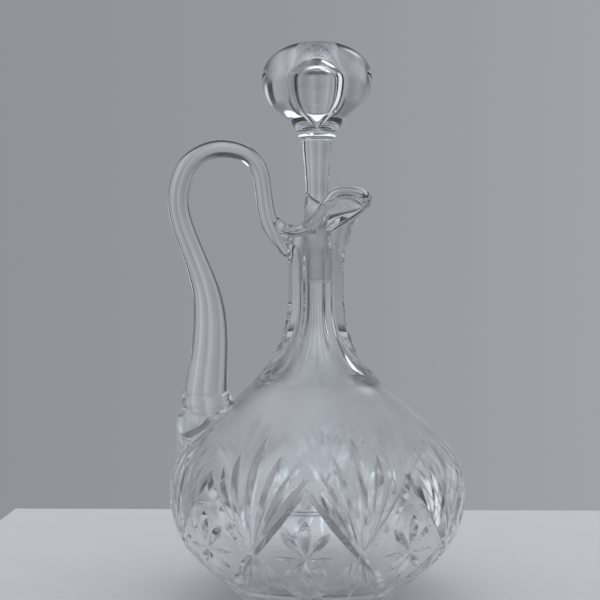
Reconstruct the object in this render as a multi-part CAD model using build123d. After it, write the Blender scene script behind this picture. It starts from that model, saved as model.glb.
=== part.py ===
from build123d import *
import math
import os

# Cut crystal carafe with a pulled pouring lip, an applied rod handle and a ground ball stopper.
# Millimetres. The origin is the centre of the foot on the table and +Z is up.
# The spout points along +X and the handle stands along -X.

# Bowl and neck, outside
base_radius = 40.0
bowl_radius = 79.9
bowl_height = 59.0
shoulder_radius = 58.1
shoulder_height = 97.8
shoulder_top_radius = 38.0
shoulder_top_height = 116.0
neck_radius = 16.5
neck_foot_height = 165.0
neck_top_height = 190.0

# Handles of the smooth curves between those places
base_flare = 17.0
base_lift = 21.0
belly_under = 31.0
belly_over = 16.5
shoulder_pull = 20.5
neck_pull = 15.5
neck_drop = 23.0

# Foot underneath: a flat standing ring around a shallow hollow with a cut star
foot_ring_width = 7.0
foot_hollow_depth = 1.6
foot_star_per_repeat = 2
foot_star_inner = 5.0
foot_star_depth = 1.5

# Inside of the bowl
floor_thickness = 10.0
floor_radius = 28.0
floor_sweep = 22.0
belly_wall = 6.6
shoulder_wall = 5.0
bore_foot_height = 150.0
bore_sweep = 18.0

# Pouring lip, which swoops down at the sides between the spout and the handle
lip_height = 224.0
lip_low_height = 202.5
lip_low_place = -13.0
spout_reach = 29.5
spout_tip_height = 219.5
spout_curl = 1.7
lip_back_reach = 28.0
lip_half_width = 18.0
lip_wall = 4.2

# Neck flutes
flute_count = 8
flute_turn = 35.0
flute_depth = 1.35
flute_top_height = 192.0
flute_end_height = 124.0

# Cut pattern on the bowl: each repeat is one diamond with a star, and one fan beside it
repeats = 9
pattern_turn = 180.0
cut_half_angle = 50.0
cutter_height = 5.0
cutter_overrun = 2.0
diamond_top_height = 77.6
diamond_side_height = 41.5
diamond_foot_height = 12.5
diamond_depth = 2.1
fan_gap = 2.0
# Fan rays: angle off the middle of the fan, height of the tip, depth of the cut
fan_rays = [(0.0, 96.0, 2.3), (8.5, 88.5, 1.9), (15.0, 81.5, 1.9)]
# Lower sprigs under each fan: angle off the middle, height of the tip, depth
sprig_gap = 4.0
fan_sprigs = [(0.0, 17.0, 1.6), (7.5, 22.0, 1.2)]
# Star petals: angle off the middle of the star, height of the tip, depth
star_petals = [(0.0, 60.5, 2.2), (8.5, 54.0, 1.7), (11.0, 41.5, 0.9), (7.5, 32.0, 1.6), (0.0, 25.5, 1.9)]

# Handle: places along its middle line as x, z and thickness, from the pad up and over to the neck
handle_line = [
    (-60.5, 114.3, 23.5),
    (-58.6, 132.0, 20.2),
    (-57.9, 150.0, 18.4),
    (-60.0, 167.7, 14.8),
    (-67.0, 188.0, 11.6),
    (-73.7, 206.0, 11.3),
    (-75.0, 220.5, 11.2),
    (-70.0, 235.4, 11.0),
    (-60.0, 242.9, 10.4),
    (-49.7, 244.7, 10.0),
    (-38.2, 241.6, 9.4),
    (-31.0, 233.0, 9.1),
    (-29.0, 220.0, 9.0),
    (-27.0, 207.0, 9.4),
    (-22.0, 196.0, 8.0),
    (-16.6, 187.5, 4.4),
]
handle_seam_sag = 3.4

# Lower pad of the handle: each ring's height over the pad's foot, middle, half length and half width
pad_foot_height = 74.0
pad_collar_margin = 0.8
pad_rings = [
    (0.0, -58.0, 18.4, 15.0),
    (16.0, -58.0, 18.2, 14.8),
    (26.0, -58.2, 17.4, 14.2),
    (31.5, -59.0, 14.2, 12.9),
    (35.5, -59.6, 14.2, 13.6),
]

# Stopper
seat_clearance = 0.2
seat_foot_drop = 2.0
seat_top_height = 200.0
peg_tip_height = 173.7
peg_top_height = 212.0
peg_tip_radius = 5.6
peg_top_radius = 7.0
peg_bevel = 0.6
shank_waist_radius = 6.2
shank_waist_height = 221.0
shank_top_radius = 8.1
collar_radius = 10.2
collar_foot_height = 250.3
collar_thickness = 3.6
knob_foot_radius = 10.6
knob_foot_height = 7.0
knob_neck_radius = 15.4
knob_radius = 29.9
knob_middle_height = 283.3
knob_top_height = 301.0
knob_dimple_radius = 8.0
knob_dimple_depth = 1.0
bubble_radius = 9.4
bubble_top_height = 292.5
bubble_middle_height = 283.5
bubble_tip_height = 259.0


def polar(radius, degrees, height):
    """A point at a radius, an angle from the spout and a height."""
    turn = math.radians(degrees)
    return Vector(radius * math.cos(turn), radius * math.sin(turn), height)


def flat(x, height):
    """A point in the upright plane through the spout and the handle."""
    return Vector(x, 0, height)


def outlined(*curves):
    """The flat face inside a closed outline."""
    return Face(Wire([edge for curve in curves for edge in curve.edges()]))


def revolved(*curves, start=0.0, sweep=360.0):
    """The solid swept by a closed profile about the upright axis."""
    return revolve(outlined(*curves).rotate(Axis.Z, start), Axis.Z, sweep)


# Outer profile of the bowl and neck, from the foot up
shoulder = flat(shoulder_radius, shoulder_height)
shoulder_top = flat(shoulder_top_radius, shoulder_top_height)
slope = (shoulder - shoulder_top).normalized()
belly = flat(bowl_radius, bowl_height)
neck_foot = flat(neck_radius, neck_foot_height)
neck_top = flat(neck_radius, neck_top_height)
outer_curves = [
    Bezier(
        flat(base_radius, 0),
        flat(base_radius + base_flare, base_lift),
        belly - flat(0, belly_under),
        belly,
    ),
    Bezier(belly, belly + flat(0, belly_over), shoulder + slope * shoulder_pull, shoulder),
    Line(shoulder, shoulder_top),
    Bezier(shoulder_top, shoulder_top - slope * neck_pull, neck_foot - flat(0, neck_drop), neck_foot),
    Line(neck_foot, neck_top),
]


def bowl_point(degrees, height, depth=0.0):
    """A point on the outer wall at an angle and a height, sunk by depth along the wall's normal."""
    curve = next(c for c in outer_curves if height <= (c @ 1).Z)
    low, high = 0.0, 1.0
    for _ in range(40):
        middle = (low + high) / 2
        if (curve @ middle).Z < height:
            low = middle
        else:
            high = middle
    place, run = curve @ low, curve % low
    return polar(place.X - depth * run.Z, degrees, place.Z + depth * run.X)


def mitre(start, middle, end, outward):
    """A V-shaped cutter whose sharp edge follows the arc through three points and opens outward."""
    arc = ThreePointArc(start, middle, end)
    centre, radius = arc.arc_center, arc.radius
    normal = (start - centre).cross(end - centre).normalized()
    sweep = (start - centre).get_angle(end - centre)
    overrun = math.degrees(cutter_overrun / radius)
    first = (start - centre).normalized().rotate(Axis((0, 0, 0), normal), -overrun)
    side = 1 if first.dot(outward) > 0 else -1
    top = centre + first * (radius + side * cutter_height)
    half = normal * (cutter_height * math.tan(math.radians(cut_half_angle)))
    section = make_face(Polyline(centre + first * radius, top + half, top - half, close=True))
    return revolve(section, Axis(centre, normal), sweep + 2 * overrun)


def bowl_cut(angle_a, height_a, angle_b, height_b, depth):
    """A cut over the bowl from one place to another, deepest in the middle."""
    angle, height = (angle_a + angle_b) / 2, (height_a + height_b) / 2
    middle = bowl_point(angle, height, depth)
    outward = bowl_point(angle, height) - middle
    return mitre(bowl_point(angle_a, height_a), middle, bowl_point(angle_b, height_b), outward)


def mirrored(off):
    """The sides of a cut: both, or only one for a cut in the middle."""
    return (-1, 1) if off else (1,)


def pattern_lines(turn):
    """The cuts of the diamond at an angle and of the fan after it: two ends and a depth each."""
    half = 180.0 / repeats
    lines = []
    for side in (-1, 1):
        corner = turn + side * half
        lines.append((turn, diamond_top_height, corner, diamond_side_height, diamond_depth))
        lines.append((corner, diamond_side_height, turn, diamond_foot_height, diamond_depth))
    for off, tip, depth in star_petals:
        for side in mirrored(off):
            lines.append((turn, diamond_side_height, turn + side * off, tip, depth))
    fan = turn + half
    for off, tip, depth in fan_rays:
        for side in mirrored(off):
            lines.append((fan, diamond_side_height + fan_gap, fan + side * off, tip, depth))
    for off, tip, depth in fan_sprigs:
        for side in mirrored(off):
            lines.append((fan, diamond_side_height - sprig_gap, fan + side * off, tip, depth))
    return lines


def foot_star_cut(degrees):
    """One ray of the star under the foot."""
    inner, outer = foot_star_inner, base_radius - foot_ring_width - foot_hollow_depth
    middle = polar((inner + outer) / 2, degrees, foot_hollow_depth + foot_star_depth)
    ends = [polar(radius, degrees, foot_hollow_depth) for radius in (inner, outer)]
    return mitre(ends[0], middle, ends[1], Vector(0, 0, -1))


def cut_bowl():
    """The bowl and neck, solid, with the whole pattern: one repeat is cut and turned about the axis."""
    step = 360.0 / repeats
    ring = base_radius - foot_ring_width
    wedge = revolved(
        *outer_curves,
        Polyline(
            neck_top,
            flat(0, neck_top_height),
            flat(0, foot_hollow_depth),
            flat(ring - foot_hollow_depth, foot_hollow_depth),
            flat(ring, 0),
            flat(base_radius, 0),
        ),
        start=pattern_turn - step / 2,
        sweep=step,
    )
    lines = [line for k in (-1, 0, 1) for line in pattern_lines(pattern_turn + k * step)]
    reach = step / 2 + 0.001
    near = [n for n in lines if min(abs(n[0] - pattern_turn), abs(n[2] - pattern_turn)) < reach]
    cuts = [bowl_cut(*line) for line in near]
    for k in range(foot_star_per_repeat):
        place = (k + 0.5) / foot_star_per_repeat - 0.5
        cuts.append(foot_star_cut(pattern_turn + place * step))
    wedge -= cuts
    wedges = [wedge.rotate(Axis.Z, k * step) for k in range(repeats)]
    return wedges[0].fuse(*wedges[1:])


def flute_cutter(degrees):
    """What one flute takes off the neck: flat across, and following the flare of the neck downwards."""
    end = bowl_point(0, flute_end_height)
    deep = neck_radius - flute_depth
    clear = flat(2 * shoulder_top_radius, 0)
    foot = flat(deep, neck_foot_height)
    top = flat(deep, flute_top_height - 2 * flute_depth)
    out = flat(neck_radius, flute_top_height)
    far_top = flat(clear.X, flute_top_height + (clear.X - neck_radius))
    edges = [
        Bezier(end, end - slope * neck_pull / 2, foot - flat(0, neck_drop), foot),
        Polyline(foot, top, out, far_top, flat(clear.X, flute_end_height), end),
    ]
    return extrude(outlined(*edges), neck_radius, both=True).rotate(Axis.Z, degrees)


def lip_ring(height, inset):
    """A level section through the lip: round at the neck, and drawn out to spout and handle above."""
    t = max(0.0, (height - neck_top_height) / (lip_height - neck_top_height))
    front = neck_radius + (spout_reach - neck_radius) * t**1.7 - inset
    back = neck_radius + (lip_back_reach - neck_radius) * t**0.9 - inset
    side = neck_radius + (lip_half_width - neck_radius) * math.sqrt(t) - inset
    middle = Plane(origin=((front - back) / 2, 0, height))
    return middle * Ellipse((front + back) / 2, side)


def lip_outside():
    """The filled lip under its swooping top edge."""
    rise = lip_height - neck_top_height
    heights = [neck_top_height + rise * share for share in (0, 0.2, 0.45, 0.7, 1.0, 1.06)]
    lip = loft([lip_ring(height, 0) for height in heights])
    low = flat(lip_low_place, lip_low_height)
    drop = lip_height - lip_low_height
    edge = Spline(
        flat(0.9 * -lip_back_reach, lip_height + drop / 2),
        flat(lip_low_place - 0.5 * drop, lip_low_height + 0.5 * drop),
        low,
        low + flat(0.38 * drop, 0.2 * drop),
        low + flat(0.72 * drop, 0.78 * drop),
        flat(lip_low_place + 1.25 * drop, lip_height),
        flat(spout_reach - 2 * spout_curl, (lip_height + spout_tip_height) / 2 + spout_curl / 2),
        flat(spout_reach + spout_curl, spout_tip_height - spout_curl),
    )
    above = lip_height + 2 * drop
    sky = Polyline(edge @ 1, flat(2 * spout_reach, above), flat(-2 * lip_back_reach, above), edge @ 0)
    return lip - extrude(outlined(edge, sky), 2 * lip_half_width, both=True)


def peg_radius(height):
    """The radius of the ground cone at a height."""
    share = (height - peg_tip_height) / (peg_top_height - peg_tip_height)
    return peg_tip_radius + (peg_top_radius - peg_tip_radius) * share


def cavity():
    """All the air inside: bowl, bore, ground seat and mouth."""
    seat_foot_height = peg_tip_height - seat_foot_drop
    bore = peg_radius(seat_foot_height) + seat_clearance
    mouth = peg_radius(seat_top_height) + seat_clearance
    inward = flat(slope.Z, -slope.X)
    inner_belly = belly - flat(belly_wall, 0)
    inner_shoulder = shoulder + inward * shoulder_wall
    inner_top = shoulder_top + inward * shoulder_wall
    bore_foot = flat(bore, bore_foot_height)
    seat_foot, seat_top = flat(bore, seat_foot_height), flat(mouth, seat_top_height)
    bowl = revolved(
        Line(flat(0, floor_thickness), flat(floor_radius, floor_thickness)),
        Bezier(
            flat(floor_radius, floor_thickness),
            flat(floor_radius + floor_sweep, floor_thickness),
            inner_belly - flat(0, belly_under - belly_wall / 2),
            inner_belly,
        ),
        Bezier(
            inner_belly,
            inner_belly + flat(0, belly_over - belly_wall / 2),
            inner_shoulder + slope * (shoulder_pull - belly_wall / 2),
            inner_shoulder,
        ),
        Line(inner_shoulder, inner_top),
        Bezier(inner_top, inner_top - slope * neck_pull, bore_foot - flat(0, bore_sweep), bore_foot),
        Polyline(bore_foot, seat_foot, seat_top, flat(0, seat_top_height), flat(0, floor_thickness)),
    )
    rise = lip_height - seat_top_height
    rings = [Plane(origin=(0, 0, seat_top_height)) * Circle(mouth)]
    rings.append(lip_ring(seat_top_height + 0.3 * rise, 1.6 * lip_wall))
    rings += [lip_ring(seat_top_height + share * rise, lip_wall) for share in (0.6, 0.85, 1.15)]
    return bowl + loft(rings)


def handle_rod():
    """The rod along its middle line, with a rounded foot that sits in the pad."""
    places = [flat(x, z) for x, z, _ in handle_line]
    line = Spline(*places)
    rings = []
    for place, (_, _, thickness) in zip(places, handle_line):
        share = line.param_at_point(place)
        rings.append(Plane(origin=place, z_dir=line % share) * Circle(thickness / 2))
    rings[0] = Plane(origin=places[0]) * Circle(handle_line[0][2] / 2)
    rod = loft(rings)
    radius = handle_line[0][2] / 2
    ball_radius = (radius**2 + handle_seam_sag**2) / (2 * handle_seam_sag)
    ball = Pos(places[0] + flat(0, ball_radius - handle_seam_sag)) * Sphere(ball_radius)
    cap = split(ball, Plane(origin=places[0]), keep=Keep.BOTTOM)
    return rod + cap


def handle_foot():
    """The pad under the rod, before the rod and the bowl are taken out of it."""
    x, top, thickness = handle_line[0]
    rings = [
        Plane(origin=(middle, 0, pad_foot_height + up)) * Ellipse(length, width)
        for up, middle, length, width in pad_rings
    ]
    rings.append(Plane(origin=(x, 0, top)) * Circle(thickness / 2 + pad_collar_margin))
    return loft(rings)


def stopper_peg():
    """The ground cone and the clear shank above it."""
    tip, top = flat(peg_tip_radius, peg_tip_height), flat(peg_top_radius, peg_top_height)
    waist = flat(shank_waist_radius, shank_waist_height)
    shank_top = flat(shank_top_radius, collar_foot_height)
    quarter = flat(0, (shank_waist_height - peg_top_height) / 3)
    third = flat(0, (collar_foot_height - shank_waist_height) / 3)
    return revolved(
        Polyline(
            flat(0, peg_tip_height),
            tip - flat(peg_bevel, 0),
            flat(peg_radius(peg_tip_height + peg_bevel), peg_tip_height + peg_bevel),
            top,
        ),
        Bezier(top, top + quarter, waist - quarter, waist),
        Bezier(waist, waist + third, shank_top - third, shank_top),
        Polyline(shank_top, flat(0, collar_foot_height), flat(0, peg_tip_height)),
    )


def stopper_collar():
    """The bead that joins the shank to the knob."""
    half = collar_thickness / 2
    foot, top = collar_foot_height, collar_foot_height + collar_thickness
    under, over = flat(collar_radius - half, foot), flat(collar_radius - half, top)
    return revolved(
        Polyline(over, flat(0, top), flat(0, foot), under),
        ThreePointArc(under, flat(collar_radius, foot + half), over),
    )


def stopper_knob():
    """The ball with its flared foot, the dimple on top and the teardrop of air inside."""
    foot = flat(knob_foot_radius, collar_foot_height + collar_thickness)
    neck = flat(knob_neck_radius, foot.Z + knob_foot_height)
    middle = flat(knob_radius, knob_middle_height)
    rim = flat(knob_dimple_radius, knob_top_height)
    dimple = flat(0, knob_top_height - knob_dimple_depth)
    under, over = knob_middle_height - neck.Z, knob_top_height - knob_middle_height
    ball = revolved(
        Line(foot, neck),
        Bezier(neck, neck + flat(0.45, 0.32) * under, middle - flat(0, 0.5 * under), middle),
        Bezier(middle, middle + flat(0, 0.62 * over), rim + flat(0.5 * over, 0), rim),
        Bezier(rim, dimple + flat(0.6 * knob_dimple_radius, 0), dimple),
        Polyline(dimple, flat(0, foot.Z), foot),
    )
    wide = flat(bubble_radius, bubble_middle_height)
    crown = bubble_top_height - bubble_middle_height
    tail = bubble_middle_height - bubble_tip_height
    bubble = revolved(
        Bezier(
            flat(0, bubble_tip_height),
            flat(0.3 * bubble_radius, bubble_tip_height + 0.3 * tail),
            wide - flat(0, 0.5 * tail),
            wide,
        ),
        Bezier(
            wide,
            wide + flat(0, 0.6 * crown),
            flat(0.6 * bubble_radius, bubble_top_height),
            flat(0, bubble_top_height),
        ),
        Line(flat(0, bubble_top_height), flat(0, bubble_tip_height)),
    )
    return ball - bubble


glass = cut_bowl() + lip_outside()
glass -= [flute_cutter(flute_turn + 360.0 * k / flute_count) for k in range(flute_count)]
rod = handle_rod()
parts = {
    "carafe_body": glass - cavity(),
    "handle": rod - glass,
    "handle_pad": handle_foot() - rod - glass,
    "stopper_peg": stopper_peg(),
    "stopper_collar": stopper_collar(),
    "stopper_knob": stopper_knob(),
}
os.makedirs("parts", exist_ok=True)
for name, shape in parts.items():
    export_step(shape, f"parts/{name}.step")
    print(name, round(shape.volume / 1000, 2), "cm3")
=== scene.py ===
import math

import bmesh
import bpy
import numpy as np
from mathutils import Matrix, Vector
from mathutils.bvhtree import BVHTree
from mathutils.interpolate import poly_3d_calc


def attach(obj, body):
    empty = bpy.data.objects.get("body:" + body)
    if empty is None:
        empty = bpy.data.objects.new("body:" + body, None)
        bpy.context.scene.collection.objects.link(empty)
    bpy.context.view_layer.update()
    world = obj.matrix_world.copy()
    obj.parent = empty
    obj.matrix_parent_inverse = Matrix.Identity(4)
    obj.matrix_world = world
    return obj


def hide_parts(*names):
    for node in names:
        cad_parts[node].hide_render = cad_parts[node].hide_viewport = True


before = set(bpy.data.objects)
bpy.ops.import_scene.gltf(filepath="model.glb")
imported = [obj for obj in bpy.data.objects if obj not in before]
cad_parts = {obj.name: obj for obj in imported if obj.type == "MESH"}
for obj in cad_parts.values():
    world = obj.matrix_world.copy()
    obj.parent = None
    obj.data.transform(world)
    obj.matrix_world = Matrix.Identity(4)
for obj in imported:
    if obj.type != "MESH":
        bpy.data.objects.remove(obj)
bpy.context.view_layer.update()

# A cut crystal carafe of clear glass: a blown body with a pulled lip, a rod handle on a pad, and a loose
# ground stopper with a ball knob.
# Lengths are millimetres until a mesh is made. Angles are degrees from the spout, which points along +X.
MM = 0.001

# Outside of the bowl and neck, as in the frame
base_radius = 40.0
bowl_radius = 79.9
bowl_height = 59.0
shoulder_radius, shoulder_height = 58.1, 97.8
shoulder_top_radius, shoulder_top_height = 38.0, 116.0
neck_radius = 16.5
neck_foot_height = 165.0
neck_top_height = 190.0
base_flare = 17.0
base_lift = 21.0
belly_under = 31.0
belly_over = 16.5
shoulder_pull = 20.5
neck_pull = 15.5
neck_drop = 23.0
edge_round = 0.8

# Foot underneath
foot_ring_width = 7.0
foot_hollow_depth = 1.6
foot_star_rays = 18
foot_star_inner = 5.0
foot_star_width = 3.4
foot_star_peak = 0.6

# Inside
floor_thickness = 10.0
floor_radius = 28.0
floor_sweep = 22.0
belly_wall = 6.6
shoulder_wall = 5.0
bore_radius = 5.73
bore_foot_height = 160.0
bore_sweep = 28.0
haze_top_height = 128.0
seat_foot_height = 171.7
seat_top_height = 200.0
seat_mouth_radius = 6.76

# Lip: reach to spout and handle, and the fire-polished bead along its edge
lip_height = 224.0
lip_half_width = 18.0
lip_pinch = 0.62
lip_wall = 5.8
lip_back_wall = 10.5
lip_bead = 3.1
lip_bead_turn = 45.0
lip_bead_root = 3.7
lip_funnel = 11.0
# How far the lip reaches to the spout and to the handle at each height
spout_reach = [
    (neck_top_height, neck_radius),
    (198.0, 18.0),
    (203.6, 19.8),
    (208.6, 22.0),
    (212.4, 24.8),
    (215.7, 28.4),
    (218.5, 31.2),
    (lip_height, 33.5),
]
handle_reach = [
    (neck_top_height, neck_radius),
    (197.0, 20.0),
    (202.0, 24.5),
    (207.0, 28.0),
    (212.0, 30.0),
    (218.0, 31.2),
    (lip_height, 31.5),
]
# The edge seen from the side: x and height
lip_edge = [
    (-36.0, 218.5),
    (-31.0, 215.2),
    (-27.0, 212.1),
    (-23.5, 209.1),
    (-20.0, 206.5),
    (-16.9, 204.4),
    (-13.5, 203.2),
    (-8.5, 204.2),
    (-4.0, 208.6),
    (0.0, 214.6),
    (4.4, 220.4),
    (8.0, 222.9),
    (14.3, 223.8),
    (21.8, 223.3),
    (27.0, 221.6),
    (30.2, 218.8),
    (33.0, 213.5),
]

# Flutes on the neck
flute_count = 8
flute_turn = 35.0
flute_depth = 1.35
flute_top_height = 192.0
flute_end_height = 124.0
flute_runout = 0.6
flute_half_width = 10.0

# Cut pattern: repeats around the bowl, and each cut's ends, width and where it is widest
repeats = 9
pattern_turn = 180.0
cut_half_angle = 50.0
cut_stations = 20
# How far a cutter stands out of the wall, how far its ends lift off it, and the widest angle between
# faces that count as one side of a cut
cut_clearance = 1.6
cut_end_lift = 0.01
cut_side_spread = 25.0
# Angle off the repeat's middle and height of both ends, width, share along where it is widest
star_petals = [
    (0.0, 42.0, 0.0, 60.5, 6.0, 0.7),
    (0.3, 41.8, 8.5, 54.5, 4.8, 0.66),
    (0.8, 41.2, 11.5, 41.2, 2.4, 0.6),
    (0.4, 40.8, 8.0, 31.5, 4.6, 0.64),
    (0.0, 40.6, 0.0, 25.5, 5.0, 0.66),
]
diamond_sides = [
    (-1.2, 79.5, 21.2, 39.5, 6.6, 0.5),
    (21.2, 43.0, -1.0, 11.5, 6.0, 0.5),
]
mitre_fullness = 0.35
diamond_ticks = [
    (0.4, 72.5, 4.2, 66.0, 1.3, 0.5),
    (-5.5, 64.6, 5.5, 64.6, 1.2, 0.5),
    (-6.5, 63.0, 6.5, 63.0, 1.0, 0.5),
]
fan_leaves = [
    (0.0, 43.0, 0.0, 96.5, 6.2, 0.8),
    (0.5, 43.0, 9.5, 89.0, 5.0, 0.78),
    (0.9, 43.0, 14.6, 82.0, 4.4, 0.76),
    (1.3, 43.0, 17.6, 76.5, 3.0, 0.74),
]
fan_sprigs = [
    (0.0, 39.0, 0.0, 16.0, 4.6, 0.6),
    (0.5, 38.5, 8.0, 21.5, 3.6, 0.6),
]

# Handle rod: x, height and thickness along its middle line, from inside the pad to inside the neck
handle_line = [
    (-60.9, 104.0, 22.6),
    (-60.5, 114.3, 23.3),
    (-58.6, 132.0, 20.2),
    (-57.9, 150.0, 18.4),
    (-60.0, 167.7, 14.8),
    (-67.0, 188.0, 11.6),
    (-73.7, 206.0, 11.3),
    (-75.0, 220.5, 11.2),
    (-70.0, 235.4, 11.0),
    (-60.0, 242.9, 10.4),
    (-49.7, 244.7, 10.0),
    (-38.2, 241.6, 9.4),
    (-31.0, 233.0, 9.1),
    (-29.0, 220.0, 9.0),
    (-27.0, 207.0, 9.4),
    (-22.0, 196.0, 8.0),
    (-16.6, 187.5, 4.4),
]
rod_tip = 1.5
# Pad: each ring's height over the pad's foot, middle, half length and half width
pad_foot_height = 74.0
pad_top_height = 114.3
pad_rings = [
    (0.0, -58.0, 18.4, 15.0),
    (16.0, -58.0, 18.2, 14.8),
    (26.0, -58.2, 17.4, 14.2),
    (31.5, -59.0, 14.2, 12.9),
    (35.5, -59.6, 14.0, 13.3),
    (38.5, -60.3, 13.0, 12.9),
    (40.3, -60.5, 12.5, 12.5),
]
pad_seam_sag = 3.4
# The pad's rim around the rod: how far in and how high each ring lies
pad_rim = [(0.35, 0.12), (0.9, 0.0), (2.5, -0.6)]
# How deep the pad reaches into the bowl's wall
pad_root = 1.5

# Stopper
peg_tip_height = 173.7
peg_tip_radius = 5.6
peg_top_height = 212.0
peg_top_radius = 7.0
peg_bevel = 0.6
shank_waist_height = 221.0
shank_waist_radius = 6.2
shank_top_radius = 8.1
collar_foot_height = 250.3
collar_thickness = 3.6
collar_radius = 10.2
knob_foot_radius = 10.6
knob_foot_height = 7.0
knob_neck_radius = 15.4
knob_radius = 29.9
knob_middle_height = 283.3
knob_top_height = 301.0
knob_dimple_radius = 8.0
knob_dimple_depth = 1.0
bubble_radius = 11.3
bubble_top_height = 289.6
bubble_middle_height = 281.8
bubble_tip_height = 257.0
# How far shank and collar reach into the piece above, and how much the collar narrows there
spigot = 0.6
spigot_taper = 0.4
# How far the handles of the knob's curves reach, as shares of each curve, and the dimple's flat middle
knob_foot_pull = 0.33, 0.3
knob_under_pull = 0.45, 0.32, 0.5
knob_over_pull = 0.62, 0.5
dimple_pull = 0.3
dimple_flat = 3.0
bubble_tail_pull = 0.3, 0.4
bubble_crown_pull = 0.6

# Mesh fineness
body_sides = 216
rod_sides = 64
stopper_sides = 128
lip_wall_rings = 14
lip_bead_rings = 23
lip_inner_rings = 21
lip_passes = 4
rod_steps = 14
rod_passes = 30
pad_steps = 6
# A loose part with fewer points than this is a speck
speck_points = 50
# The slant of test rays, and how far past a wall in metres the next one starts
ray_way = (0.31, 0.17, 0.935)
ray_skip = 1e-6

# Camera of the photograph
camera_distance = 553.4
camera_azimuth = 264.0
camera_height = 172.4
camera_pitch = -1.0
camera_yaw = 0.955
camera_lens = 60.864
camera_sensor = 36.0
camera_clip = (0.01, 20.0)

# Stage
table_back = 215.0
table_half_width = 230.0
table_front = 260.0
table_thickness = 30.0
table_drop = 0.4
table_tone = (0.53, 0.535, 0.56)
light_tone = (0.95, 0.97, 1.0)
light_level = 0.88
# Tones across the curtain backdrop, from far left to far right, painted lighter towards the right as
# painted light from that side
lit_curtain_tones = [(-0.35, 0.285), (0.0, 0.315), (0.3, 0.37)]
# Tones around the room at four levels, by the angle to the right of straight behind the carafe
room_tint = (0.955, 1.0, 1.07)
low_fold_gain = 1.18
curtain_folds = [
    (-50, 0.26), (-38, 0.33), (-29, 0.25), (-15, 0.29), (-6, 0.38), (1, 0.27), (14, 0.36), (19, 0.44),
    (25, 0.31), (34, 0.37),
]
room_middle = [
    (-180, 0.40), (-158, 0.16), (-120, 0.30), (-98, 0.42), (-92, 0.04), (-74, 0.04), (-70, 0.24),
    *curtain_folds,
    (41, 0.40), (45, 0.04), (56, 0.04), (59, 0.85), (77, 0.85), (80, 0.04), (92, 0.05), (97, 0.42),
    (130, 0.42), (155, 0.5), (180, 0.40),
]
room_upper = [
    (-180, 0.70), (-105, 0.60), (-98, 0.22), (-60, 0.26), (-30, 0.22), (-12, 0.06), (14, 0.06),
    (26, 0.30), (45, 0.20), (62, 0.12), (80, 0.25), (90, 0.55), (130, 0.60), (180, 0.70),
]
room_crown = [(-180, 0.85), (-90, 0.6), (-40, 0.18), (10, 0.10), (40, 0.3), (90, 0.7), (180, 0.85)]
room_lower = [
    (-180, 0.30), (-150, 0.26), (-115, 0.14), (-98, 0.20), (-86, 0.05), (-62, 0.05),
    *((turn, low_fold_gain * tone) for turn, tone in curtain_folds),
    (45, 0.30), (60, 0.05), (84, 0.05), (96, 0.20), (115, 0.14), (150, 0.26), (180, 0.30),
]
room_floor_tone = 0.05
# Sines of the heights between which the floor turns into the lowest level, and each level into the next
room_floor = (-0.5, -0.3)
room_sill = (-0.08, 0.1)
room_lintel = (0.3, 0.45)
room_cornice = (0.72, 0.92)
# Bright windows: angle to the right, height angle, colour, and the angles from the middle where each
# starts and ends to fade
windows = [
    (33.0, 42.0, (1.9, 1.95, 2.05), 3.0, 11.0),
    (180.0, 60.0, (1.15, 1.25, 1.4), 22.0, 38.0),
]

# Soft lamps: place in metres, size in metres and power in watts. All look at one point.
lamps = {
    "overhead": ((0.1, 0.1, 1.4), 1.0, 2.0),
    "window": ((1.3, 0.15, 0.55), 0.7, 2.5),
    "far_window": ((-1.3, 0.5, 0.6), 0.35, 1.0),
}
lamp_target = (0, 0, 0.15)
deep_bounces = 32
glossy_bounces = 16

# Glass: colour, refraction, and the sizes of its slow waves and of its grain
glass_tint = (0.985, 0.99, 0.995)
glass_ior = 1.54
wave_scale = 60.0
wave_detail = 1.0
grain_detail = 4.0
grain_range = (0.35, 0.65)

# Table cover
cover_roughness = 0.9
cover_specular = 0.2
weave_scale = 30.0
weave_detail = 5.0
weave_tones = (0.96, 1.03)

# Sockets of a colour mix: two colours in, one out
colour_a, colour_b, colour_out = 6, 7, 2

# Material slots of every piece
polished, ground, cut, hazed = range(4)


def bezier(a, b, c, d, steps=24):
    """Points along a cubic curve, both ends included."""
    a, b, c, d = (np.array(p, float) for p in (a, b, c, d))
    t = np.linspace(0, 1, steps + 1)[:, None]
    u = 1 - t
    return list(a * u**3 + 3 * b * u * u * t + 3 * c * u * t * t + d * t**3)


def line(a, b, steps=8):
    """Points along a straight line, both ends included."""
    return list(np.linspace(np.array(a, float), np.array(b, float), steps + 1))


def arc(middle, radius, start, end, steps=6):
    """Points along an arc between two angles."""
    angles = np.radians(np.linspace(start, end, steps + 1))
    return [np.array(middle) + radius * np.array((math.cos(a), math.sin(a))) for a in angles]


def joined(*runs):
    """One run of points from several that meet end to end."""
    points = []
    for run in runs:
        for p in run:
            if not points or np.linalg.norm(p - points[-1]) > 1e-6:
                points.append(p)
    return points


def smooth_line(points, steps):
    """Points of an even smooth curve through the given ones."""
    points = np.array(points, float)
    ends = [2 * points[0] - points[1], *points, 2 * points[-1] - points[-2]]
    fine = []
    for a, b, c, d in zip(ends, ends[1:], ends[2:], ends[3:]):
        for t in np.arange(steps) / steps:
            bend = (2 * a - 5 * b + 4 * c - d) * t**2
            turn = (3 * b - a - 3 * c + d) * t**3
            fine.append(0.5 * (2 * b + (c - a) * t + bend + turn))
    fine.append(points[-1])
    return np.array(fine)


def evened(points, passes):
    """The same line with small changes of bend smoothed out, its ends kept."""
    for _ in range(passes):
        points[1:-1] += 0.25 * (points[:-2] - 2 * points[1:-1] + points[2:])
    return points


def turned(radius, turn, height):
    """A point at a radius, an angle in degrees and a height."""
    angle = math.radians(turn)
    return np.array((radius * math.cos(angle), radius * math.sin(angle), height))


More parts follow.
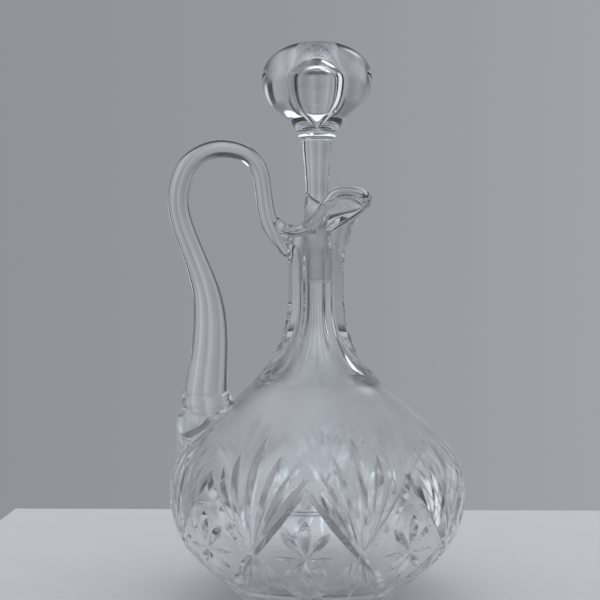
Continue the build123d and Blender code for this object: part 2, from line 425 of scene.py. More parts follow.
def skin(rings, slots=None):
    """Points, faces and slots of a closed surface over rings, whose first and last are single points."""
    points, faces, marks = [], [], []
    starts = []
    for ring in rings:
        starts.append(len(points))
        points.extend(ring)
    for i, (low, high) in enumerate(zip(rings, rings[1:])):
        a, b = starts[i], starts[i + 1]
        count = max(len(low), len(high))
        for k in range(count):
            n = (k + 1) % count
            if len(low) == 1:
                face = (a, b + n, b + k)
            elif len(high) == 1:
                face = (a + k, a + n, b)
            else:
                face = (a + k, a + n, b + n, b + k)
            faces.append(face)
            marks.append(slots[i] if slots else polished)
    return points, faces, marks


def lathe(profile, sides, slots=None):
    """The closed surface of a profile of (radius, height) points that starts and ends on the axis."""
    rings = [[np.array((0.0, 0.0, profile[0][1]))]]
    for radius, height in profile[1:-1]:
        rings.append([turned(radius, 360 * k / sides, height) for k in range(sides)])
    rings.append([np.array((0.0, 0.0, profile[-1][1]))])
    return skin(rings, slots)


def merged(*skins):
    """Several surfaces as one."""
    points, faces, marks = [], [], []
    for some_points, some_faces, some_marks in skins:
        start = len(points)
        points.extend(some_points)
        faces.extend(tuple(start + i for i in face) for face in some_faces)
        marks.extend(some_marks)
    return points, faces, marks


def inside_out(surface):
    """The same surface facing the other way, as the wall of a hollow."""
    points, faces, marks = surface
    return points, [face[::-1] for face in faces], marks


def make_piece(name, surface, materials):
    """A mesh object in metres, shaded smooth."""
    points, faces, marks = surface
    mesh = bpy.data.meshes.new(name)
    mesh.from_pydata([Vector(p) * MM for p in points], [], faces)
    for material in materials:
        mesh.materials.append(material)
    mesh.polygons.foreach_set("material_index", marks)
    mesh.polygons.foreach_set("use_smooth", [True] * len(faces))
    mesh.update()
    piece = bpy.data.objects.new(name, mesh)
    bpy.context.scene.collection.objects.link(piece)
    return piece


def clear_specks(mesh):
    """Takes loose specks, as cutting can leave, out of a mesh."""
    whole = bmesh.new()
    whole.from_mesh(mesh)
    known, specks = set(), []
    for start in whole.verts:
        if start in known:
            continue
        part, ahead = {start}, [start]
        while ahead:
            for edge in ahead.pop().link_edges:
                for v in edge.verts:
                    if v not in part:
                        part.add(v)
                        ahead.append(v)
        known |= part
        if len(part) < speck_points:
            specks.extend(part)
    bmesh.ops.delete(whole, geom=specks, context="VERTS")
    whole.to_mesh(mesh)
    whole.free()


def carved(piece, cutters):
    """Takes the cutters out of a piece, and deletes them."""
    for cutter in cutters:
        step = piece.modifiers.new("cut", "BOOLEAN")
        step.operation = "DIFFERENCE"
        step.solver = "MANIFOLD"
        step.object = cutter
    settled = piece.evaluated_get(bpy.context.evaluated_depsgraph_get())
    mesh = bpy.data.meshes.new_from_object(settled)
    clear_specks(mesh)
    piece.modifiers.clear()
    piece.data = mesh
    for cutter in cutters:
        bpy.data.objects.remove(cutter)


def tree_of(mesh):
    """A search tree over a mesh's faces."""
    return BVHTree.FromPolygons([v.co for v in mesh.vertices], [list(p.vertices) for p in mesh.polygons])


def settle_normals(piece, smooth_mesh):
    """Corner normals: those of the uncut surface beside a cut, and smooth along each wall of a cut."""
    mesh = piece.data
    tree = tree_of(smooth_mesh)
    same_side = math.cos(math.radians(cut_side_spread))
    walls = {}
    for face in mesh.polygons:
        if face.material_index == cut:
            for v in face.vertices:
                walls.setdefault(v, []).append(face)
    found = {}
    normals = [Vector((0, 0, 0))] * len(mesh.loops)
    for face in mesh.polygons:
        for loop in face.loop_indices:
            v = mesh.loops[loop].vertex_index
            if face.material_index == cut:
                total = Vector((0, 0, 0))
                for other in walls[v]:
                    if other.normal.dot(face.normal) > same_side:
                        total += other.normal * other.area
                normals[loop] = total.normalized() if total.length > 0 else face.normal.copy()
            else:
                if v not in found:
                    place, _, index, _ = tree.find_nearest(mesh.vertices[v].co)
                    around = smooth_mesh.polygons[index].vertices
                    weights = poly_3d_calc([smooth_mesh.vertices[i].co for i in around], place)
                    total = Vector((0, 0, 0))
                    for i, weight in zip(around, weights):
                        total += smooth_mesh.vertices[i].normal * weight
                    found[v] = total.normalized()
                normals[loop] = found[v]
    mesh.polygons.foreach_set("use_smooth", [True] * len(mesh.polygons))
    mesh.normals_split_custom_set(normals)


def holds(tree, point):
    """Whether a closed surface holds a point: a ray from inside leaves through an odd count of walls."""
    way = Vector(ray_way).normalized()
    walls = 0
    place = tree.ray_cast(point, way)[0]
    while place is not None:
        walls += 1
        place = tree.ray_cast(place + way * ray_skip, way)[0]
    return walls % 2 == 1


def mark_fused(piece, neighbours):
    """Writes how far each point lies outside the pieces that this one is fused to, negative inside."""
    trees = [tree_of(other.data) for other in neighbours]
    depths = []
    for v in piece.data.vertices:
        nearest = 1.0
        for tree in trees:
            distance = tree.find_nearest(v.co)[3]
            nearest = min(nearest, -distance if holds(tree, v.co) else distance)
        depths.append(nearest)
    attribute = piece.data.attributes.new("fused", "FLOAT", "POINT")
    attribute.data.foreach_set("value", depths)


# Shapes

slope = np.array((shoulder_radius - shoulder_top_radius, shoulder_height - shoulder_top_height))
slope /= np.linalg.norm(slope)
shoulder = np.array((shoulder_radius, shoulder_height))
shoulder_top = np.array((shoulder_top_radius, shoulder_top_height))
belly = np.array((bowl_radius, bowl_height))
neck_foot = np.array((neck_radius, neck_foot_height))


def up(amount):
    """A step upward in a profile."""
    return np.array((0.0, amount))


def sideways(amount):
    """A step away from the axis in a profile."""
    return np.array((amount, 0.0))


def outside_profile():
    """The wall from the edge of the foot to the top of the neck."""
    foot = np.array((base_radius, 0.0))
    return joined(
        bezier(foot, (base_radius + base_flare, base_lift), belly - up(belly_under), belly, 36)[1:],
        bezier(belly, belly + up(belly_over), shoulder + slope * shoulder_pull, shoulder, 20),
        line(shoulder, shoulder_top, 10),
        bezier(shoulder_top, shoulder_top - slope * neck_pull, neck_foot - up(neck_drop), neck_foot, 28),
        line(neck_foot, (neck_radius, neck_top_height), 8),
    )


outside = np.array(outside_profile())


def wall_place(turn, height):
    """A point on the outer wall and the direction out of it."""
    i = min(max(int(np.searchsorted(outside[:, 1], height)), 1), len(outside) - 1)
    low, high = outside[i - 1], outside[i]
    share = (height - low[1]) / (high[1] - low[1])
    radius = low[0] + share * (high[0] - low[0])
    before, after = outside[max(i - 2, 0)], outside[min(i + 1, len(outside) - 1)]
    run = (high - before) * (1 - share) + (after - low) * share
    run /= np.linalg.norm(run)
    return turned(radius, turn, height), turned(run[1], turn, -run[0])


spout_line = smooth_line(spout_reach, 8)
handle_side_line = smooth_line(handle_reach, 8)


def lip_place(turn, height, inset):
    """A point on the lip: round at the neck, drawn out to the spout and pinched at the handle above."""
    t = max(0.0, (height - neck_top_height) / (lip_height - neck_top_height))
    front = np.interp(height, spout_line[:, 0], spout_line[:, 1]) - inset
    back = np.interp(height, handle_side_line[:, 0], handle_side_line[:, 1]) - inset
    side = neck_radius + (lip_half_width - neck_radius) * math.sqrt(t) - inset
    angle = math.radians(turn)
    x = (front - back) / 2 + (front + back) / 2 * math.cos(angle)
    narrowed = 1 - lip_pinch * min(2 * t, 1.0) * ((1 - math.cos(angle)) / 2) ** 2
    return np.array((x, side * math.sin(angle) * narrowed, height))


edge_line = smooth_line(lip_edge, 12)
edge_run = np.gradient(edge_line, axis=0)
edge_run /= np.linalg.norm(edge_run, axis=1)[:, None]
bead_line = edge_line + lip_bead * np.stack((edge_run[:, 1], -edge_run[:, 0]), 1)
bead_line = bead_line[np.append(True, np.diff(np.maximum.accumulate(bead_line[:, 0])) > 0)]


def lip_crest(turn):
    """The middle of the rolled edge at an angle, where the lip meets the edge's line in side view."""
    low, high = neck_top_height - 2 * lip_bead, lip_height
    for _ in range(30):
        middle = (low + high) / 2
        place = lip_place(turn, middle, lip_bead)
        if middle < np.interp(place[0], bead_line[:, 0], bead_line[:, 1]):
            low = middle
        else:
            high = middle
    return lip_place(turn, low, lip_bead)


def lip_inside(turn, height):
    """A point inside the lip: along the wall above, and drawn in to the ground seat below."""
    mouth = turned(seat_mouth_radius, turn, height)
    rise = (height - seat_top_height) / lip_funnel
    share = math.sin(math.pi / 2 * min(max(rise, 0.0), 1.0))
    backward = (1 - math.cos(math.radians(turn))) / 2
    wall = lip_wall + (lip_back_wall - lip_wall) * backward**4
    return mouth + share * (lip_place(turn, height, wall) - mouth)


def lip_rings():
    """Rings over the lip: up its outside, over the bead of its edge and down to the ground seat."""
    turns = [360 * k / body_sides for k in range(body_sides)]
    crest = np.array([lip_crest(turn) for turn in turns])
    for _ in range(lip_passes):
        crest = 0.5 * crest + 0.25 * (np.roll(crest, 1, 0) + np.roll(crest, -1, 0))
    along = np.roll(crest, -1, 0) - np.roll(crest, 1, 0)
    along /= np.linalg.norm(along, axis=1)[:, None]
    upward = np.array((0.0, 0.0, 1.0)) - along * along[:, 2:]
    upward /= np.linalg.norm(upward, axis=1)[:, None]
    outward = np.cross(along, upward)
    root = crest - lip_bead_root * upward
    half = lip_bead * math.cos(math.radians(lip_bead_turn)) * outward
    rings = []
    for share in np.linspace(0, 1, lip_wall_rings + 1)[1:]:
        ring = []
        for turn, end in zip(turns, root + half):
            wall = lip_place(turn, neck_top_height + share * (end[2] - neck_top_height), 0)
            ring.append(wall + share**3 * (end - lip_place(turn, end[2], 0)))
        rings.append(ring)
    for angle in np.radians(np.linspace(-lip_bead_turn, 180 + lip_bead_turn, lip_bead_rings)):
        rings.append(list(crest + lip_bead * (math.cos(angle) * outward + math.sin(angle) * upward)))
    for share in np.linspace(0, 1, lip_inner_rings):
        ring = []
        for turn, start in zip(turns, root - half):
            wall = lip_inside(turn, seat_top_height + (1 - share) * (start[2] - seat_top_height))
            ring.append(wall + (1 - share) ** 3 * (start - lip_inside(turn, start[2])))
        rings.append(ring)
    return rings


def body_surface():
    """The whole wall of the carafe before it is cut."""
    ring = base_radius - foot_ring_width
    under = joined(
        line((0.0, foot_hollow_depth), (ring - 2 * foot_hollow_depth, foot_hollow_depth), 10),
        bezier(
            (ring - 2 * foot_hollow_depth, foot_hollow_depth),
            (ring - foot_hollow_depth, foot_hollow_depth),
            (ring - foot_hollow_depth, 0.0),
            (ring, 0.0),
            8,
        ),
        line((ring, 0.0), (base_radius - edge_round, 0.0), 2),
        arc((base_radius - edge_round, edge_round), edge_round, -90, 0, 4),
    )
    inward = np.array((slope[1], -slope[0]))
    inner_belly = belly - np.array((belly_wall, 0.0))
    inner_shoulder = shoulder + inward * shoulder_wall
    inner_top = shoulder_top + inward * shoulder_wall
    bore = np.array((bore_radius, bore_foot_height))
    half = belly_wall / 2
    seat = line((seat_mouth_radius, seat_top_height), (bore_radius, seat_foot_height), 8)
    inside = joined(
        line((bore_radius, seat_foot_height), bore, 4),
        bezier(bore, bore - up(bore_sweep), inner_top - slope * neck_pull, inner_top, 24),
        line(inner_top, inner_shoulder, 8),
        bezier(
            inner_shoulder,
            inner_shoulder + slope * (shoulder_pull - half),
            inner_belly + up(belly_over - half),
            inner_belly,
            16,
        ),
        bezier(
            inner_belly,
            inner_belly - up(belly_under - half),
            (floor_radius + floor_sweep, floor_thickness),
            (floor_radius, floor_thickness),
            24,
        ),
        line((floor_radius, floor_thickness), (0.0, floor_thickness), 6),
    )

    def level(radius, height):
        """A round ring."""
        return [turned(radius, 360 * k / body_sides, height) for k in range(body_sides)]

    rings = [[np.array((0.0, 0.0, foot_hollow_depth))]]
    rings += [level(*p) for p in under[1:]]
    rings += [level(*p) for p in outside]
    rings += lip_rings()
    slots = [polished] * (len(rings) - 1)
    rings += [level(*p) for p in seat[1:]]
    slots += [ground] * (len(seat) - 1)
    rings += [level(*p) for p in inside[1:-1]]
    slots += [hazed if p[1] < haze_top_height else polished for p in inside[1:-1]]
    rings.append([np.array((0.0, 0.0, floor_thickness))])
    slots.append(hazed)
    return skin(rings, slots)


def cut_width(share, peak):
    """How wide a cut is along its length, from 0 at its ends to 1 at its widest place."""
    if share < peak:
        return math.sin(math.pi / 2 * share / peak)
    return math.cos(math.pi / 2 * (share - peak) / (1 - peak))


def leaf_cutter(places, width, peak, fullness=1.0):
    """A V-shaped cutter along (point, outward) places, pointed at its ends, less so at low fullness."""
    slant = math.tan(math.radians(cut_half_angle))
    rings = []
    count = len(places)
    for i, (point, out) in enumerate(places):
        run = places[min(i + 1, count - 1)][0] - places[max(i - 1, 0)][0]
        across = np.cross(run, out)
        across /= np.linalg.norm(across)
        swell = max(cut_width(i / (count - 1), peak), 0.0) ** fullness
        depth = width / 2 / slant * swell - cut_end_lift
        side = across * (depth + cut_clearance) * slant
        top = point + out * cut_clearance
        rings.append([point - out * depth, top - side, top + side])
    first, last = (sum(ring) / 3 for ring in (rings[0], rings[-1]))
    points, faces, marks = skin([[first], *rings, [last]])
    return points, faces, [cut] * len(marks)


def wall_cut(turn_a, height_a, turn_b, height_b, width, peak, fullness):
    """One cut of the bowl's pattern, from one angle and height to another."""
    places = []
    for share in np.linspace(0, 1, cut_stations + 1):
        turn, height = turn_a + share * (turn_b - turn_a), height_a + share * (height_b - height_a)
        places.append(wall_place(turn, height))
    return leaf_cutter(places, width, peak, fullness)


def around(surface, count, start=0.0):
    """Copies of a surface turned evenly about the axis."""
    points, faces, marks = surface
    copies = []
    for k in range(count):
        angle = math.radians(start + 360 * k / count)
        c, s = math.cos(angle), math.sin(angle)
        spun = [np.array((c * x - s * y, s * x + c * y, z)) for x, y, z in points]
        copies.append((spun, faces, marks))
    return merged(*copies)


def pattern_cutters(materials):
    """Every cut of the bowl, each with its copies around it."""
    rows = (
        (0.0, mitre_fullness, diamond_sides),
        (0.0, 1.0, diamond_ticks + star_petals),
        (180.0 / repeats, 1.0, fan_leaves + fan_sprigs),
    )
    cutters = []
    for middle, fullness, cuts in rows:
        for turn_a, height_a, turn_b, height_b, width, peak in cuts:
            for side in (1, -1) if turn_a + turn_b else (1,):
                ends = middle + side * turn_a, height_a, middle + side * turn_b, height_b
                surface = around(wall_cut(*ends, width, peak, fullness), repeats, pattern_turn)
                cutters.append(make_piece(f"cutter_{len(cutters)}", surface, materials))
    return cutters


def foot_cutters(materials):
    """The star under the foot, in two sets so that no two rays of a set meet."""
    outer = base_radius - foot_ring_width - 2 * foot_hollow_depth
    places = []
    for radius in np.linspace(foot_star_inner, outer, cut_stations + 1):
        places.append((np.array((radius, 0.0, foot_hollow_depth)), np.array((0.0, 0.0, -1.0))))
    ray = leaf_cutter(places, foot_star_width, foot_star_peak)
    count = foot_star_rays // 2
    cutters = []
    for i, turn in enumerate((0.0, 180.0 / count)):
        cutters.append(make_piece(f"foot_cutter_{i}", around(ray, count, turn), materials))
    return cutters


def flute_cutters(materials):
    """The flat flutes of the neck, in two sets of four."""
    end = np.array((np.interp(flute_end_height, outside[:, 1], outside[:, 0]), flute_end_height))
    deep = neck_radius - flute_depth
    far = 2 * shoulder_top_radius
    foot = np.array((deep, neck_foot_height))
    top = np.array((neck_radius + flute_runout, flute_top_height + flute_runout))
    profile = joined(
        bezier(end, end - slope * neck_pull / 2, foot - up(neck_drop), foot, 24),
        bezier(
            foot,
            (deep, flute_top_height - 4 * flute_depth),
            (deep, flute_top_height - 2 * flute_depth),
            top,
            12,
        ),
        line(top, (far, flute_top_height + far), 1),
        line((far, flute_top_height + far), (far, flute_end_height), 1),
    )
    count = len(profile)
    points = [np.array((r, y, z)) for y in (-flute_half_width, flute_half_width) for r, z in profile]
    faces = [tuple(range(count - 1, -1, -1)), tuple(range(count, 2 * count))]
    for i in range(count):
        n = (i + 1) % count
        faces.append((i, n, n + count, i + count))
    surface = (points, faces, [cut] * len(faces))
    cutters = []
    for k in range(2):
        spun = around(surface, flute_count // 2, flute_turn + k * 360.0 / flute_count)
        cutters.append(make_piece(f"flute_cutter_{k}", spun, materials))
    return cutters


def rod_surface():
    """The handle's rod along its middle line, round in section."""
    fine = evened(smooth_line(handle_line, rod_steps), rod_passes)
    middle = np.array([(x, 0.0, z) for x, z, _ in fine])
    run = np.gradient(middle, axis=0)
    run /= np.linalg.norm(run, axis=1)[:, None]
    out = np.array((0.0, 1.0, 0.0))
    rings = [[middle[0]]]
    for place, way, (_, _, thickness) in zip(middle, run, fine):
        side = np.cross(out, way)
        ring = []
        for k in range(rod_sides):
            angle = 2 * math.pi * k / rod_sides
            ring.append(place + thickness / 2 * (math.cos(angle) * side + math.sin(angle) * out))
        rings.append(ring)
    rings.append([middle[-1] + run[-1] * rod_tip])
    return skin(rings)


def pad_surface():
    """The handle's pad: oval at the bowl, and drawn in to a ring around the rod with a dipping seam."""
    fine = smooth_line(pad_rings, pad_steps)
    reach = pad_top_height - pad_foot_height
    rings = [[np.array((fine[0][1], 0.0, pad_foot_height))]]
    for rise, middle, length, width in fine:
        ring = []
        for k in range(rod_sides * 2):
            angle = math.pi * k / rod_sides
            dip = pad_seam_sag * math.sin(angle) ** 2
            height = pad_foot_height + rise * (reach - dip) / reach
            ring.append(np.array((middle + length * math.cos(angle), width * math.sin(angle), height)))
        rings.append(ring)
    x = fine[-1][1]
    for inset, rise in pad_rim:
        ring = []
        for point in rings[len(fine)]:
            out = np.array((point[0] - x, point[1], 0.0))
            out /= np.linalg.norm(out)
            ring.append(point - out * inset + np.array((0.0, 0.0, rise)))
        rings.append(ring)
    rings.append([np.array((x, 0.0, pad_top_height - 2 * pad_seam_sag))])
    return skin(rings)


def core_surface():
    """The bowl filled, less the depth that the pad runs into its wall."""
    profile = [np.array((0.0, outside[0][1]))]
    profile += [p - np.array((pad_root, 0.0)) for p in outside]
    profile.append(np.array((0.0, neck_top_height)))
    return lathe(profile, body_sides)


def peg_surface():
    """The shank and the ground peg of the stopper."""
    tip, top = np.array((peg_tip_radius, peg_tip_height)), np.array((peg_top_radius, peg_top_height))
    waist = np.array((shank_waist_radius, shank_waist_height))
    shank_top = np.array((shank_top_radius, collar_foot_height))
    quarter, third = up((waist - top)[1] / 3), up((shank_top - waist)[1] / 3)
    tip_rise = tip + up(peg_bevel) + (top - tip) * peg_bevel / (top - tip)[1]
    bevel_start = tip - np.array((peg_bevel, 0.0))
    cone = joined(
        line((0.0, peg_tip_height), bevel_start, 4),
        bezier(bevel_start, bevel_start + (peg_bevel / 2, 0), tip + up(peg_bevel / 2), tip_rise, 4),
        line(tip_rise, top, 20),
    )
    clear = joined(
        bezier(top, top + quarter, waist - quarter, waist, 12),
        bezier(waist, waist + third, shank_top - third, shank_top, 24),
        line(shank_top, shank_top + up(spigot), 1),
        line(shank_top + up(spigot), (0.0, collar_foot_height + spigot), 4),
    )
    slots = [ground] * (len(cone) - 1) + [polished] * (len(clear) - 1)
    return lathe(joined(cone, clear), stopper_sides, slots)


def collar_surface():
    """The bead between shank and knob."""
    half = collar_thickness / 2
    middle = np.array((collar_radius - half, collar_foot_height + half))
    top = collar_foot_height + collar_thickness + spigot
    inner = collar_radius - half
    return lathe(
        joined(
            line((0.0, collar_foot_height), (inner, collar_foot_height), 4),
            arc(middle, half, -90, 90, 16),
            line((inner, collar_foot_height + collar_thickness), (inner - spigot_taper, top), 2),
            line((inner - spigot_taper, top), (0.0, top), 4),
        ),
        stopper_sides,
    )


def knob_surface():
    """The ball knob with its flared foot, the dimple on top and the teardrop of air inside."""
    foot = np.array((knob_foot_radius, collar_foot_height + collar_thickness))
    neck = np.array((knob_neck_radius, foot[1] + knob_foot_height))
    middle = np.array((knob_radius, knob_middle_height))
    rim = np.array((knob_dimple_radius, knob_top_height))
    dimple = np.array((0.0, knob_top_height - knob_dimple_depth))
    under, over = knob_middle_height - neck[1], knob_top_height - knob_middle_height
    low, high = foot + knob_foot_pull[0] * (neck - foot), neck - knob_foot_pull[1] * (neck - foot)
    outward, upward, downward = knob_under_pull
    side = neck + under * np.array((outward, upward))
    rise, reach = knob_over_pull
    lip = rim - sideways(dimple_pull * knob_dimple_radius)
    ball = lathe(
        joined(
            line((0.0, foot[1]), foot, 6),
            bezier(foot, low, high, neck, 10),
            bezier(neck, side, middle - up(downward * under), middle, 32),
            bezier(middle, middle + up(rise * over), rim + sideways(reach * over), rim, 32),
            bezier(rim, lip, dimple + sideways(dimple_flat), dimple, 10),
        ),
        stopper_sides,
    )
    wide = np.array((bubble_radius, bubble_middle_height))
    crown, tail = bubble_top_height - bubble_middle_height, bubble_middle_height - bubble_tip_height
    top, tip = np.array((0.0, bubble_top_height)), np.array((0.0, bubble_tip_height))
    low, high = bubble_tail_pull
    spread = tip + low * np.array((bubble_radius, tail))
    flat = top + sideways(bubble_crown_pull * bubble_radius)
    bubble = lathe(
        joined(
            bezier(tip, spread, wide - up(high * tail), wide, 32),
            bezier(wide, wide + up(bubble_crown_pull * crown), flat, top, 20),
        ),
        stopper_sides,
    )
    return merged(ball, inside_out(bubble))


# Materials

def tree_for(material):
    """A material's empty node tree with its output."""
    material.use_nodes = True
    tree = material.node_tree
    tree.nodes.clear()
    return tree, tree.nodes.new("ShaderNodeOutputMaterial")


def glass(name, rough, rough_spread, grain, wave_height, grain_height):
    """Clear lead glass: slightly uneven polish, slow waves of the hot glass and fine tool marks.

    Where a piece runs inside another one that it is fused to, its surface lets light straight through.
    """
    material = bpy.data.materials.new(name)
    tree, output = tree_for(material)
    nodes, link = tree.nodes, tree.links.new
    coordinates = nodes.new("ShaderNodeTexCoord")
    shader = nodes.new("ShaderNodeBsdfPrincipled")
    shader.inputs["Base Color"].default_value = (*glass_tint, 1)
    shader.inputs["Transmission Weight"].default_value = 1.0
    shader.inputs["IOR"].default_value = glass_ior
    speckle = nodes.new("ShaderNodeTexNoise")
    speckle.inputs["Scale"].default_value = grain
    speckle.inputs["Detail"].default_value = grain_detail
    link(coordinates.outputs["Object"], speckle.inputs["Vector"])
    polish = nodes.new("ShaderNodeMapRange")
    polish.inputs["From Min"].default_value = grain_range[0]
    polish.inputs["From Max"].default_value = grain_range[1]
    polish.inputs["To Min"].default_value = rough
    polish.inputs["To Max"].default_value = rough + rough_spread
    link(speckle.outputs["Fac"], polish.inputs["Value"])
    link(polish.outputs["Result"], shader.inputs["Roughness"])
    wave = nodes.new("ShaderNodeTexNoise")
    wave.inputs["Scale"].default_value = wave_scale
    wave.inputs["Detail"].default_value = wave_detail
    link(coordinates.outputs["Object"], wave.inputs["Vector"])
    slow = nodes.new("ShaderNodeBump")
    slow.inputs["Strength"].default_value = 1.0
    slow.inputs["Distance"].default_value = wave_height * MM
    link(wave.outputs["Fac"], slow.inputs["Height"])
    fine = nodes.new("ShaderNodeBump")
    fine.inputs["Strength"].default_value = 1.0
    fine.inputs["Distance"].default_value = grain_height * MM
    link(speckle.outputs["Fac"], fine.inputs["Height"])
    link(slow.outputs["Normal"], fine.inputs["Normal"])
    link(fine.outputs["Normal"], shader.inputs["Normal"])
    depth = nodes.new("ShaderNodeAttribute")
    depth.attribute_name = "fused"
    inside = nodes.new("ShaderNodeMath")
    inside.operation = "LESS_THAN"
    inside.inputs[1].default_value = 0.0
    link(depth.outputs["Fac"], inside.inputs[0])
    through = nodes.new("ShaderNodeBsdfTransparent")
    mix = nodes.new("ShaderNodeMixShader")
    link(inside.outputs[0], mix.inputs["Fac"])
    link(shader.outputs[0], mix.inputs[1])
    link(through.outputs[0], mix.inputs[2])
    link(mix.outputs[0], output.inputs["Surface"])
    return material


def cloth(name, colour):
    """The plain pale cover of the table, with a faint weave."""
    material = bpy.data.materials.new(name)
    tree, output = tree_for(material)
    nodes, link = tree.nodes, tree.links.new
    coordinates = nodes.new("ShaderNodeTexCoord")
    shader = nodes.new("ShaderNodeBsdfPrincipled")
    shader.inputs["Roughness"].default_value = cover_roughness
    shader.inputs["Specular IOR Level"].default_value = cover_specular
    noise = nodes.new("ShaderNodeTexNoise")
    noise.inputs["Scale"].default_value = weave_scale
    noise.inputs["Detail"].default_value = weave_detail
    link(coordinates.outputs["Object"], noise.inputs["Vector"])
    tone = nodes.new("ShaderNodeMapRange")
    tone.inputs["To Min"].default_value = weave_tones[0]
    tone.inputs["To Max"].default_value = weave_tones[1]
    link(noise.outputs["Fac"], tone.inputs["Value"])
    tint = nodes.new("ShaderNodeMix")
    tint.data_type = "RGBA"
    tint.blend_type = "MULTIPLY"
    tint.inputs["Factor"].default_value = 1.0
    tint.inputs[colour_a].default_value = (*colour, 1)
    link(tone.outputs["Result"], tint.inputs[colour_b])
    link(tint.outputs[colour_out], shader.inputs["Base Color"])
    link(shader.outputs[0], output.inputs["Surface"])
    return material


# In the order of the slots: roughness and its spread, scale of the grain, heights of waves and grain
glasses = [
    glass("crystal", 0.0, 0.02, 90.0, 0.02, 0.0),
    glass("ground_crystal", 0.3, 0.2, 900.0, 0.0, 0.03),
    glass("cut_crystal", 0.02, 0.05, 300.0, 0.0, 0.004),
    glass("hazed_crystal", 0.08, 0.1, 40.0, 0.0, 0.0),
]

# Pieces

body = make_piece("carafe_body_glass", body_surface(), glasses)
uncut = body.data
carved(body, flute_cutters(glasses) + pattern_cutters(glasses) + foot_cutters(glasses))
settle_normals(body, uncut)

rod = make_piece("handle_rod_glass", rod_surface(), glasses)
pad = make_piece("handle_pad_glass", pad_surface(), glasses)
carved(pad, [make_piece("core_cutter", core_surface(), glasses)])
peg = make_piece("stopper_peg_glass", peg_surface(), glasses)
collar = make_piece("stopper_collar_glass", collar_surface(), glasses)
knob = make_piece("stopper_knob_glass", knob_surface(), glasses)

for group in ((body, rod, pad), (peg, collar, knob)):
    for piece in group:
        mark_fused(piece, [other for other in group if other is not piece])

for piece, node in ((body, "carafe_body"), (rod, "handle"), (pad, "handle_pad")):
    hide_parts(node)
    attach(piece, "carafe")
for piece, node in ((peg, "stopper_peg"), (collar, "stopper_collar"), (knob, "stopper_knob")):
    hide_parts(node)
    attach(piece, "stopper")

# Stage, light and camera

heading = camera_azimuth - 180
aim = np.array((math.cos(math.radians(heading)), math.sin(math.radians(heading)), 0.0))
right = np.array((aim[1], -aim[0], 0.0))


def table():
    """A plain pale table top whose back edge lies behind the carafe, square to the view."""
    corners = []
    for along, side in ((-table_front, -1), (-table_front, 1), (table_back, 1), (table_back, -1)):
        corners.append(along * aim + side * table_half_width * right - (0, 0, table_drop))
    low = [c - np.array((0, 0, table_thickness)) for c in corners]
    faces = [(0, 1, 2, 3), (7, 6, 5, 4)]
    faces += [(i, i + 4, (i + 1) % 4 + 4, (i + 1) % 4) for i in range(4)]
    top = make_piece("table", (corners + low, faces, [0] * 6), [cloth("table_cover", table_tone)])
    top.data.polygons.foreach_set("use_smooth", [False] * 6)


def lamp(name, place, size, power):
    """A soft square lamp, which glass neither mirrors nor lets through."""
    data = bpy.data.lights.new(name, "AREA")
    data.shape = "SQUARE"
    data.size = size
    data.energy = power
    light = bpy.data.objects.new(name, data)
    light.location = place
    light.rotation_euler = (Vector(lamp_target) - Vector(place)).to_track_quat("-Z", "Y").to_euler()
    light.visible_glossy = False
    light.visible_transmission = False
    bpy.context.scene.collection.objects.link(light)


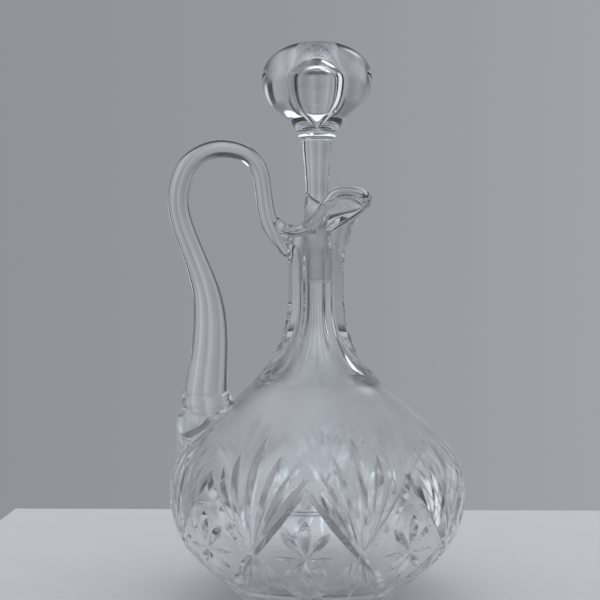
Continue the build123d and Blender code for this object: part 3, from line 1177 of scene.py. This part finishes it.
def room():
    """The world: a backdrop for the eye with painted light, lighter towards the right, a room for the
    glass and even light for the rest.
    """
    world = bpy.data.worlds.new("studio")
    bpy.context.scene.world = world
    world.use_nodes = True
    tree = world.node_tree
    tree.nodes.clear()
    nodes, link = tree.nodes, tree.links.new
    output = nodes.new("ShaderNodeOutputWorld")
    coordinates = nodes.new("ShaderNodeTexCoord")

    def facing(way):
        """How far a direction faces one way: 1 along it, -1 against it."""
        dot = nodes.new("ShaderNodeVectorMath")
        dot.operation = "DOT_PRODUCT"
        dot.inputs[1].default_value = Vector(way)
        link(coordinates.outputs["Generated"], dot.inputs[0])
        return dot.outputs["Value"]

    def step(value, low, high):
        """0 below low, 1 above high and smooth between."""
        ease = nodes.new("ShaderNodeMapRange")
        ease.interpolation_type = "SMOOTHSTEP"
        ease.inputs["From Min"].default_value = low
        ease.inputs["From Max"].default_value = high
        link(value, ease.inputs["Value"])
        return ease.outputs["Result"]

    def tones(place, low, high, stops):
        """Tones along a value from low to high, each stop a place and a tone."""
        share = nodes.new("ShaderNodeMapRange")
        share.inputs["From Min"].default_value = low
        share.inputs["From Max"].default_value = high
        link(place, share.inputs["Value"])
        ramp = nodes.new("ShaderNodeValToRGB")
        marks = ramp.color_ramp.elements
        marks.remove(marks[1])
        for i, (at, tone) in enumerate(stops):
            mark = marks[0] if i == 0 else marks.new(1.0)
            mark.position = (at - low) / (high - low)
            mark.color = (*(tone * share_of for share_of in room_tint), 1)
        link(share.outputs["Result"], ramp.inputs["Fac"])
        return ramp.outputs["Color"]

    def coloured(socket, colour):
        """Gives a socket a colour, either a plain one or another node's."""
        if isinstance(colour, tuple):
            socket.default_value = (*colour, 1)
        else:
            link(colour, socket)

    def blended(share, first, second):
        """One colour where share is 0 and another where it is 1."""
        mix = nodes.new("ShaderNodeMix")
        mix.data_type = "RGBA"
        link(share, mix.inputs["Factor"])
        coloured(mix.inputs[colour_a], first)
        coloured(mix.inputs[colour_b], second)
        return mix.outputs[colour_out]

    def background(colour, strength=1.0):
        """Light of one colour, plain or another node's."""
        shader = nodes.new("ShaderNodeBackground")
        shader.inputs["Strength"].default_value = strength
        coloured(shader.inputs["Color"], colour)
        return shader.outputs[0]

    def either(share, first, second):
        """One light where share is 0 and another where it is 1."""
        mix = nodes.new("ShaderNodeMixShader")
        link(share, mix.inputs["Fac"])
        link(first, mix.inputs[1])
        link(second, mix.inputs[2])
        return mix.outputs[0]

    angle = nodes.new("ShaderNodeMath")
    angle.operation = "ARCTAN2"
    link(facing(right), angle.inputs[0])
    link(facing(aim), angle.inputs[1])
    degrees = nodes.new("ShaderNodeMath")
    degrees.operation = "DEGREES"
    link(angle.outputs[0], degrees.inputs[0])
    height = facing((0, 0, 1))
    around = (room_floor_tone,) * 3
    for edge, stops in (
        (room_floor, room_lower),
        (room_sill, room_middle),
        (room_lintel, room_upper),
        (room_cornice, room_crown),
    ):
        level = tones(degrees.outputs[0], -180, 180, stops)
        around = blended(step(height, *edge), around, level)
    for turn, rise, colour, inner, outer in windows:
        turn, rise, inner, outer = (math.radians(angle) for angle in (turn, rise, inner, outer))
        way = math.cos(rise) * (math.cos(turn) * aim + math.sin(turn) * right) + (0, 0, math.sin(rise))
        around = blended(step(facing(way), math.cos(outer), math.cos(inner)), around, colour)
    # The backdrop that the eye sees directly: painted light, lighter towards the right
    curtain = tones(facing(right), -1, 1, lit_curtain_tones)
    path = nodes.new("ShaderNodeLightPath")
    through = nodes.new("ShaderNodeMath")
    through.operation = "MAXIMUM"
    link(path.outputs["Is Glossy Ray"], through.inputs[0])
    link(path.outputs["Is Transmission Ray"], through.inputs[1])
    light = background(light_tone, light_level)
    seen = either(through.outputs[0], light, background(around))
    seen = either(path.outputs["Diffuse Depth"], seen, light)
    seen = either(path.outputs["Is Camera Ray"], seen, background(curtain))
    link(seen, output.inputs["Surface"])


def camera():
    """The camera of the photograph."""
    data = bpy.data.cameras.new("camera")
    data.lens = camera_lens
    data.sensor_width = camera_sensor
    data.clip_start, data.clip_end = camera_clip
    eye = bpy.data.objects.new("camera", data)
    eye.location = Vector(turned(camera_distance, camera_azimuth, camera_height)) * MM
    eye.rotation_euler = (math.radians(90 + camera_pitch), 0, math.radians(heading + camera_yaw - 90))
    bpy.context.scene.collection.objects.link(eye)
    bpy.context.scene.camera = eye


table()
for name, (place, size, power) in lamps.items():
    lamp(name, place, size, power)
room()
camera()

scene = bpy.context.scene
scene.view_settings.view_transform = "Standard"
scene.cycles.max_bounces = deep_bounces
scene.cycles.transmission_bounces = deep_bounces
scene.cycles.transparent_max_bounces = deep_bounces
scene.cycles.glossy_bounces = glossy_bounces
